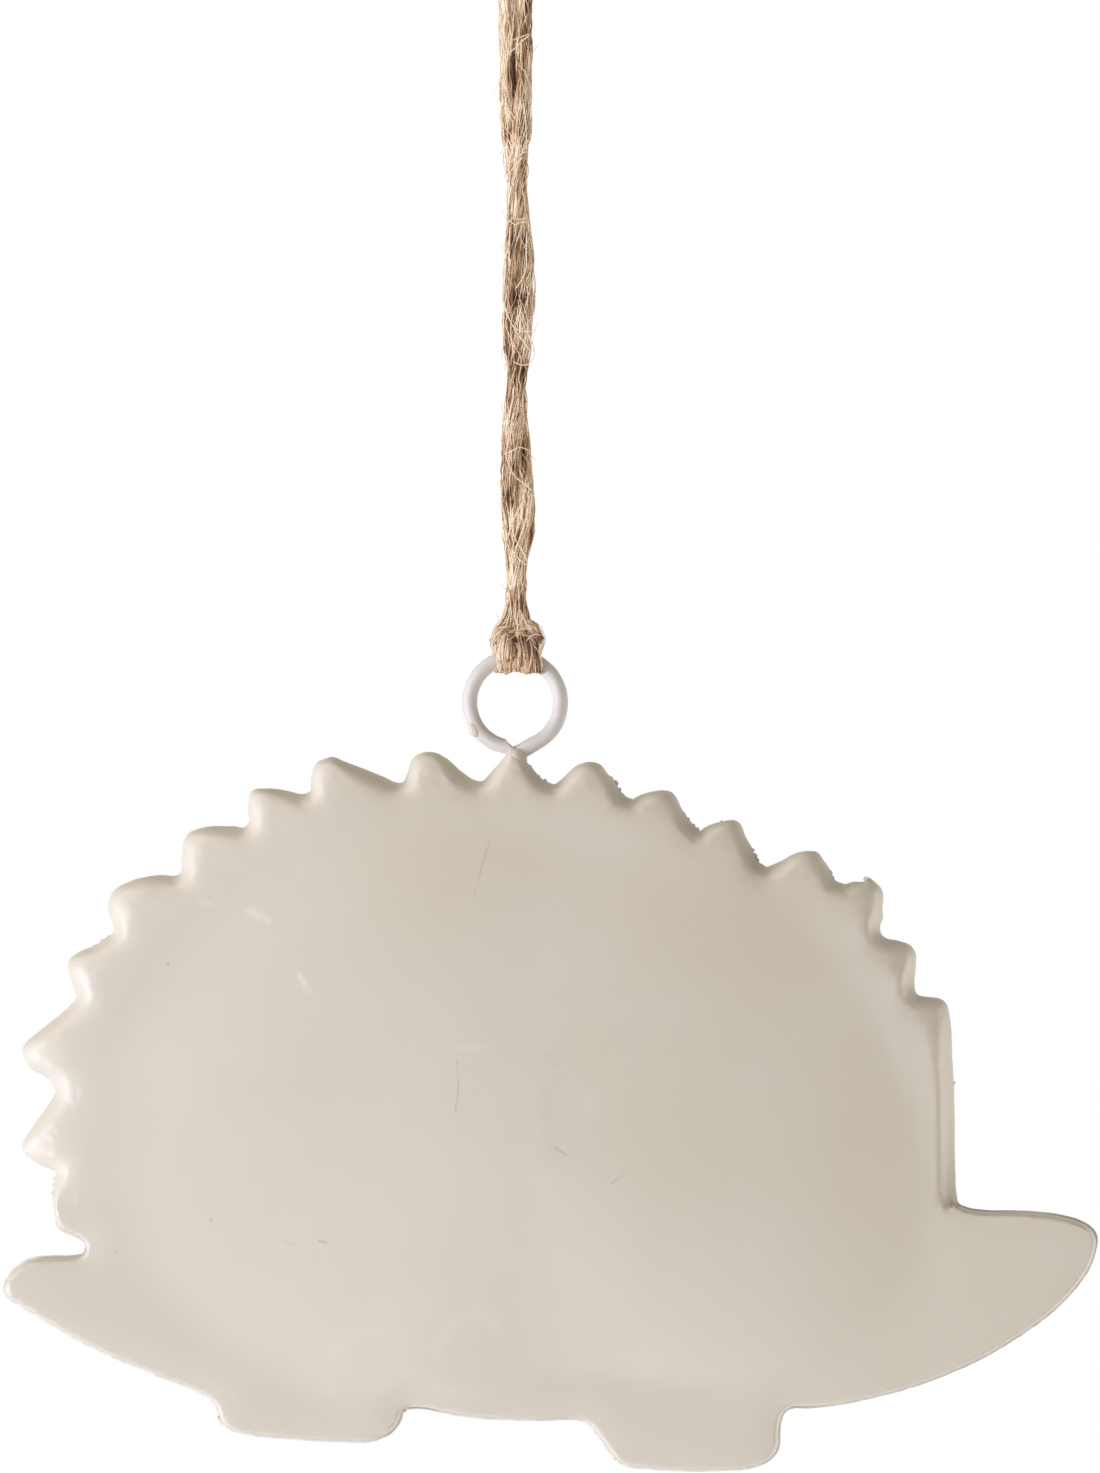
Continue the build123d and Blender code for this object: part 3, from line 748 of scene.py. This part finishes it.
def pressedShell(name, node, side, seed, material):
    low, high = outline.min(0) - 0.6, outline.max(0) + 0.6
    cells = np.ceil((high - low) / shell["grid"]).astype(int)
    bm = bmesh.new()
    bmesh.ops.create_grid(bm, x_segments=int(cells[0]), y_segments=int(cells[1]), size=0.5)
    for v in bm.verts:
        x, z = low + (v.co.x + 0.5, v.co.y + 0.5) * (high - low)
        v.co = (x, towardsEdge(x, z)[0] - flangeAt(z), z)  # cut while y holds the distance inside
    cutAt(bm, 0, 0.09, clear_inner=True)
    for depth in shell["rings"]:
        cutAt(bm, depth, min(0.06, depth * 0.3))
    rows = []
    for v in bm.verts:
        gap, spot = towardsEdge(v.co.x, v.co.z)
        outward = spot - Vector((v.co.x, 0, v.co.z))
        if v.is_boundary:
            moved = outward * (1 - flangeAt(v.co.z) / gap) if gap > 0.02 else outward
            v.co.x, v.co.z = v.co.x + moved.x, v.co.z + moved.z
            gap = 0.0
        else:
            gap -= flangeAt(v.co.z)
        rows.append((v.co.x, v.co.z, max(gap, 0.0), outward.normalized().x if gap > 0.02 else 0.0))
    rows = np.array(rows)
    eased = easedInside(rows[:, 0], rows[:, 1]) - np.array([flangeAt(z) for z in rows[:, 1]])
    eased = np.where(rows[:, 2] > 0.04, np.maximum(eased, 0), rows[:, 2])
    for v, height in zip(bm.verts, pressedHeight(rows[:, 0], rows[:, 1], eased, rows[:, 3], seed)):
        v.co.y = height
    # the ridges of the spines are rounded off, and the flanks between them keep their curve
    ridges = [v for v, inside, mean in zip(bm.verts, rows[:, 2], eased) if 0.5 < inside < 6 and inside - mean > 0.1]
    soft = [v for v, inside in zip(bm.verts, rows[:, 2]) if 0.8 < inside < 5]
    for verts, rounds in ((ridges, 24), (soft, 3)):
        for _ in range(rounds):
            bmesh.ops.smooth_vert(bm, verts=verts, factor=0.5, use_axis_y=True)
    for v in bm.verts:
        v.co *= mm
        v.co.y *= side
    bmesh.ops.recalc_face_normals(bm, faces=bm.faces[:])
    if bm.faces[len(bm.faces) // 2].normal.y * side < 0:
        bmesh.ops.reverse_faces(bm, faces=bm.faces[:])
    bmesh.ops.solidify(bm, geom=bm.faces[:], thickness=shell["sheet"] * mm)
    piece = finishPiece(bm, name, material, "hedgehog")
    piece.data.set_sharp_from_angle(angle=math.radians(60))
    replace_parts(piece, node)
    print(name, "pressed,", sum(len(p.vertices) - 2 for p in piece.data.polygons), "triangles")


# Wear on the front's lacquer, each a line through places read off the photo, with its width in mm
lightMarks = [
    ([(199, 900), (212, 904)], 0.4, 0.22), ([(250, 911), (258, 914), (268, 919)], 0.7, 0.5),
    ([(300, 975), (304, 982), (309, 990)], 0.6, 0.5), ([(455, 1048), (472, 1046), (490, 1047)], 0.5, 0.15),
    ([(330, 1385), (338, 1345), (365, 1325), (392, 1336), (405, 1370)], 1.4, 0.1),
    ([(440, 1345), (452, 1322), (476, 1310), (495, 1322)], 1.3, 0.09), ([(587, 1092), (592, 1108)], 1.8, 0.1),
]
darkMarks = [
    ([(490, 838), (483, 864), (474, 895)], 0.16, 0.3), ([(457, 1060), (459, 1084), (456, 1110)], 0.18, 0.3),
    ([(556, 1146), (566, 1153)], 0.25, 0.35), ([(320, 1239), (331, 1241)], 0.22, 0.45),
    ([(553, 1060), (547, 1105), (556, 1150)], 2.6, 0.07), ([(285, 1240), (298, 1243)], 0.25, 0.2),
    ([(612, 1181), (624, 1172)], 0.25, 0.25),
]


def vectorMaths(tree, operation, inputs, result=0):
    return addNode(tree, "ShaderNodeVectorMath", inputs, operation=operation).outputs[result]


def markMask(tree, place, marks):  # a shader value that rises to each mark's strength along its line
    total = None
    for points, wide, strength in marks:
        spots = [Vector(spot) * mm for spot in fromPhoto(points, 0)]
        for start, end in zip(spots, spots[1:]):
            run = end - start
            local = vectorMaths(tree, "SUBTRACT", {0: place, 1: start})
            share = vectorMaths(tree, "DOT_PRODUCT", {0: local, 1: run / run.length_squared}, "Value")
            held = addNode(tree, "ShaderNodeClamp", {"Value": share}).outputs[0]
            foot = vectorMaths(tree, "SCALE", {0: run, "Scale": held})
            gap = vectorMaths(tree, "DISTANCE", {0: local, 1: foot}, "Value")
            near = mapped(tree, gap, 0.0, wide * mm, strength, 0.0, interpolation_type="SMOOTHSTEP")
            total = near if total is None else maths(tree, "MAXIMUM", total, near)
    return total


def lacquerMaterial():
    # Tin plate sprayed with cream lacquer and stoved: a satin film with faint orange peel and some clouding
    material, tree, place = newMaterial("cream satin lacquer")
    clouds, peel = noisePattern(tree, place, 55.0, 4.0), noisePattern(tree, place, 1600.0, 2.0)
    specks = addNode(tree, "ShaderNodeTexVoronoi", {"Vector": place, "Scale": 150.0}).outputs["Distance"]
    colour = colourRamp(tree, clouds, [(0.3, "#DACEBA"), (0.7, "#DED2BF")])
    colour = overlay(tree, mapped(tree, specks, 0.018, 0.032, 0.35, 0.0), colour, linear("#8A7F72"))
    # the marks are on the front only, and broken up as rubbed lacquer is
    axes = addNode(tree, "ShaderNodeSeparateXYZ", {0: place}).outputs
    flat = addNode(tree, "ShaderNodeCombineXYZ", {"X": axes["X"], "Z": axes["Z"]}).outputs[0]
    broken = mapped(tree, noisePattern(tree, place, 1100.0, 5.0), 0.3, 0.55)
    shown = maths(tree, "MULTIPLY", broken, maths(tree, "LESS_THAN", axes["Y"], -2 * mm))
    for marks, shade in ((lightMarks, "#F3EEE4"), (darkMarks, "#978B7B")):
        amount = maths(tree, "MULTIPLY", markMask(tree, flat, marks), shown)
        colour = overlay(tree, amount, colour, linear(shade))
    return closeMaterial(material, tree, colour, peel, 0.12, 0.03, {
        "Roughness": mapped(tree, clouds, 0.3, 0.7, 0.40, 0.48)})


lacquer = lacquerMaterial()
pressedShell("frontShell", "front_shell", -1, 3.7, lacquer)
pressedShell("rearShell", "rear_shell", 1, 9.2, lacquer)


# Seam, ring and the drop of solder that joins them
seam = {
    "bead": 0.2, "proud": 0.03,  # mm, its radius and how far it stands outside the outline
    # burrs of solder and lacquer where the seam was trimmed, read off the photo, with their size in mm
    "burrs": [(615, 782, 0.24), (618, 789, 0.3), (621, 796, 0.22), (612, 777, 0.16), (685, 813, 0.2),
              (688, 819, 0.26), (693, 825, 0.22), (698, 829, 0.18), (752, 849, 0.26), (754, 855, 0.3),
              (757, 861, 0.26), (762, 866, 0.18), (831, 872, 0.34), (834, 877, 0.2), (868, 878, 0.3),
              (538, 776, 0.2), (545, 781, 0.22), (530, 766, 0.14), (107, 936, 0.2), (101, 941, 0.18),
              (93, 946, 0.16), (54, 1180, 0.2), (54, 1186, 0.16), (53, 1194, 0.14), (955.5, 1083, 0.2),
              (250, 793, 0.14), (184, 842, 0.14), (722, 822, 0.16), (733, 821, 0.14), (60, 1173, 0.14),
              (404, 1411, 0.16), (615, 1459, 0.14), (217, 1418, 0.14)],
}


def paintedMaterial(name, scale, detail, steps, roughness, strength, depth):  # clouded, and uneven with its clouds
    material, tree, place = newMaterial(name)
    clouds = noisePattern(tree, place, scale, detail)
    return closeMaterial(material, tree, colourRamp(tree, clouds, steps), clouds, strength, depth,
                         {"Roughness": roughness})


# Steel wire dipped in a thinner, cooler grey-white paint
ringPaint = paintedMaterial("grey white wire paint", 400.0, 4.0, [(0.3, "#D5CCC1"), (0.7, "#DED4C9")], 0.55, 0.2, 0.05)
# Soft solder run along the seam, under a thin spray of the lacquer that leaves it pale, grey and dull
solder = paintedMaterial("dull solder", 900.0, 3.0, [(0.35, "#D2CDC6"), (0.65, "#E6E1DA")], 0.5, 0.4, 0.08)


def roughen(bm, amount, scale, seed):  # lifts a surface a little, as hand-applied paint does, in mm
    for v in bm.verts:
        v.normal_update()
    moves = [(v, v.normal * noise.noise(v.co * scale + Vector((seed, 0, 0))) * amount) for v in bm.verts]
    for v, move in moves:
        v.co += move


def seamBead():
    curve = newCurve("seam")
    curve.bevel_depth, curve.bevel_resolution = mm, 1
    spline = newSpline(curve, "POLY", len(outline))
    spline.use_cyclic_u = True
    for i, (knot, (x, z)) in enumerate(zip(spline.points, outline)):
        before, after = outline[i - 1], outline[(i + 1) % len(outline)]
        run = Vector((after[0] - before[0], 0, after[1] - before[1])).normalized()
        inward = run.cross(Vector((0, 1, 0)))
        spot = Vector((x, 0, z))
        if towardsEdge(*(spot + inward * 0.05).xz)[0] < 0:
            inward = -inward
        spot = spot + inward * (seam["bead"] - seam["proud"])
        knot.co = (*(spot * mm), 1)
        knot.radius = seam["bead"] * (1 + 0.25 * noise.noise(spot * 0.9))
    mesh = meshOfCurve(curve)
    bm = bmesh.new()
    bm.from_mesh(mesh)
    bpy.data.meshes.remove(mesh)
    dice = np.random.default_rng(8)
    inside = Vector((shell["domeMiddle"][0], 0, shell["domeMiddle"][1]))
    for x, z, size in seam["burrs"]:
        burr = bmesh.new()
        bmesh.ops.create_icosphere(burr, subdivisions=3, radius=1)
        roughen(burr, 0.5, 1.4, dice.uniform(0, 50))
        spot = towardsEdge(*fromPhoto([(x, z)], 0)[0][::2])[1]
        spot = spot + (inside - spot).normalized() * size * 0.55
        bmesh.ops.scale(burr, verts=burr.verts[:], vec=size * mm * Vector(dice.uniform(0.7, 1.3, 3)))
        bmesh.ops.translate(burr, verts=burr.verts[:], vec=(spot + Vector((0, dice.uniform(-0.25, 0.05), 0))) * mm)
        lump = bpy.data.meshes.new("burr")
        burr.to_mesh(lump)
        burr.free()
        bm.from_mesh(lump)
        bpy.data.meshes.remove(lump)
    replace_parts(finishPiece(bm, "seamBead", solder, "hedgehog"), "seam_solder")


seamBead()


ring = {
    "start": 267, "turn": 327, "tail": 3.0,  # degrees anticlockwise from +X, and mm
    "blob": (-4.11, -0.42, -107.33), "blobSize": (0.56, 0.48, 0.82), "blobTilt": -24,
    "endRise": 0.12, "endSlant": 1.15,  # mm that the left end is sprung in, and the slant of its cut
}


def hangingRing():
    bm = bmesh.new()
    bmesh.ops.create_circle(bm, segments=28, radius=wireRadius, cap_ends=True)
    bmesh.ops.translate(bm, verts=bm.verts[:], vec=(ringRadius, 0, 0))
    # the wire's section lies across +X and is spun about Y, over the top, to its tail
    bmesh.ops.rotate(bm, verts=bm.verts[:], cent=(0, 0, 0),
                     matrix=Matrix.Rotation(math.radians(-ring["start"]), 3, "Y"))
    spun = bmesh.ops.spin(bm, geom=bm.faces[:], cent=(0, 0, 0), axis=(0, 1, 0), dvec=(0, 0, 0),
                          angle=math.radians(ring["turn"]), steps=120)["geom_last"]
    last = only(spun, bmesh.types.BMFace)
    run = Vector((0, 1, 0)).cross(last[0].calc_center_median()).normalized()
    for _ in range(6):
        pushed = bmesh.ops.extrude_face_region(bm, geom=last)["geom"]
        bmesh.ops.delete(bm, geom=last, context="FACES_ONLY")
        last = only(pushed, bmesh.types.BMFace)
        bmesh.ops.translate(bm, verts=only(pushed, bmesh.types.BMVert), vec=run * ring["tail"] / 6)
    for v in bm.verts:  # the left end is sprung inwards and cut on the slant
        angle = math.degrees(math.atan2(v.co.z, v.co.x)) % 360
        bend = max(0, 1 - (ring["start"] - angle) / 24) if angle < ring["start"] + 1 else 0
        if bend > 0 and v.co.length < 5.6:
            out = Vector((v.co.x, 0, v.co.z)).normalized()
            slant = min((out.dot(v.co) - ringRadius) * ring["endSlant"], 0.3)
            v.co += -out * ring["endRise"] * bend * bend * (3 - 2 * bend) + Vector((1, 0, 0)) * slant * bend ** 3
    ends = [f for f in bm.faces if len(f.verts) > 8]
    rims = list({e for f in ends for e in f.edges})
    bmesh.ops.bevel(bm, geom=rims, offset=0.14, offset_type="OFFSET", segments=2, profile=0.5, affect="EDGES",
                    material=-1)
    bmesh.ops.recalc_face_normals(bm, faces=bm.faces[:])
    roughen(bm, 0.045, 0.55, 2)
    roughen(bm, 0.012, 2.5, 4)
    bmesh.ops.scale(bm, verts=bm.verts[:], vec=(mm, mm, mm))
    bmesh.ops.translate(bm, verts=bm.verts[:], vec=(0, 0, photo["ringZ"] * mm))
    piece = finishPiece(bm, "hangingRing", ringPaint, "hedgehog")
    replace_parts(piece, "hanging_ring")


def lacquerDrop(name, place, size, tilt, seed):  # a drop of solder or lacquer, sprayed over with the rest
    bm = bmesh.new()
    bmesh.ops.create_icosphere(bm, subdivisions=4, radius=1)
    bmesh.ops.scale(bm, verts=bm.verts[:], vec=size)
    roughen(bm, 0.10, 1.1, seed)
    bmesh.ops.rotate(bm, verts=bm.verts[:], cent=(0, 0, 0), matrix=Matrix.Rotation(math.radians(tilt), 3, "Y"))
    bmesh.ops.translate(bm, verts=bm.verts[:], vec=place)
    bmesh.ops.scale(bm, verts=bm.verts[:], vec=(mm, mm, mm))
    return finishPiece(bm, name, lacquer, "hedgehog")


hangingRing()
ringTack = lacquerDrop("ringTack", (0.08, -0.1, -110.75), (1.15, 1.6, 1.55), 8, 3)
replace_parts(ringTack, "ring_tack")
lacquerDrop("lacquerBlob", ring["blob"], ring["blobSize"], ring["blobTilt"], 6)
print("ring and its drop of solder made")

# Floor, backdrop and light
stage = {"floor": -0.75, "front": -3.4, "back": 3.6, "cove": 0.5, "half": 3.4, "height": 2.2}  # m
lampsAim = (0, 0, -0.145)  # m, the middle of the body


def sweepMaterial():
    # Painted paper sweep: pale and matt, and seen as plain white where it stands behind the object
    material, tree, place = newMaterial("white paper sweep")
    ray = addNode(tree, "ShaderNodeLightPath").outputs
    height = addNode(tree, "ShaderNodeSeparateXYZ", {0: place}).outputs["Z"]
    lifted = mapped(tree, height, stage["floor"] + 0.005, stage["floor"] + 0.04)
    colour = colourRamp(tree, noisePattern(tree, place, 40.0, 2.0), [(0.3, "#F1EFEC"), (0.7, "#F4F2EF")])
    matt = addNode(tree, "ShaderNodeBsdfDiffuse", {"Color": colour}).outputs[0]
    white = addNode(tree, "ShaderNodeEmission", {"Color": (1, 1, 1, 1), "Strength": 1.0}).outputs[0]
    sharp = maths(tree, "MAXIMUM", ray["Is Glossy Ray"], ray["Is Transmission Ray"])
    share = maths(tree, "MAXIMUM", maths(tree, "MULTIPLY", ray["Is Camera Ray"], lifted), sharp)
    mixed = addNode(tree, "ShaderNodeMixShader", {0: share, 1: matt, 2: white})
    addNode(tree, "ShaderNodeOutputMaterial", {"Surface": mixed.outputs[0]})
    return material


def paperSweep():
    bm = bmesh.new()
    bmesh.ops.create_grid(bm, x_segments=2, y_segments=90, size=1.0)
    flat = stage["back"] - stage["cove"] - stage["front"]
    bend = stage["cove"] * math.pi / 2
    total = flat + bend + stage["height"]
    for v in bm.verts:
        run = (v.co.y + 1) / 2 * total
        turn = min(max(run - flat, 0), bend) / stage["cove"]
        y = stage["front"] + min(run, flat) + stage["cove"] * math.sin(turn)
        z = stage["floor"] + stage["cove"] * (1 - math.cos(turn)) + max(run - flat - bend, 0)
        v.co = (v.co.x * stage["half"], y, z)
    finishPiece(bm, "paperSweep", sweepMaterial(), None)


def softBox(name, place, size, watts, colour):
    lamp = bpy.data.lights.new(name, "AREA")
    lamp.shape = "RECTANGLE"
    lamp.size, lamp.size_y = size
    lamp.energy = watts
    lamp.color = linear(colour)[:3]
    box = bpy.data.objects.new(name, lamp)
    bpy.context.collection.objects.link(box)
    box.location = place
    box.rotation_euler = (Vector(lampsAim) - Vector(place)).to_track_quat("-Z", "Y").to_euler()
    box.visible_camera = False


def roomLight(strength):
    world = bpy.data.worlds.new("room")
    bpy.context.scene.world = world
    world.use_nodes = True
    tree = world.node_tree
    tree.nodes.clear()
    seen = addNode(tree, "ShaderNodeLightPath").outputs["Is Camera Ray"]
    plain = addNode(tree, "ShaderNodeBackground", {"Color": linear("#FFFAF4"), "Strength": strength}).outputs[0]
    white = addNode(tree, "ShaderNodeBackground", {"Color": (1, 1, 1, 1), "Strength": 1.0}).outputs[0]
    mixed = addNode(tree, "ShaderNodeMixShader", {0: seen, 1: plain, 2: white})
    addNode(tree, "ShaderNodeOutputWorld", {"Surface": mixed.outputs[0]})


paperSweep()
roomLight(0.27)
softBox("keyLeft", (-1.0, -0.55, -0.27), (0.6, 0.6), 14.9, "#E2EAFF")
softBox("keyFront", (-0.1, -0.95, -0.55), (0.36, 0.36), 1.0, "#FFFFFF")
softBox("topLeft", (-0.30, -0.15, 0.52), (0.5, 0.5), 1.7, "#FFFAF0")
softBox("sideRight", (0.8, 0.07, -0.36), (0.4, 0.8), 4.6, "#F6F9FF")
print("stage lit")

bpy.context.scene.view_settings.view_transform = "Standard"
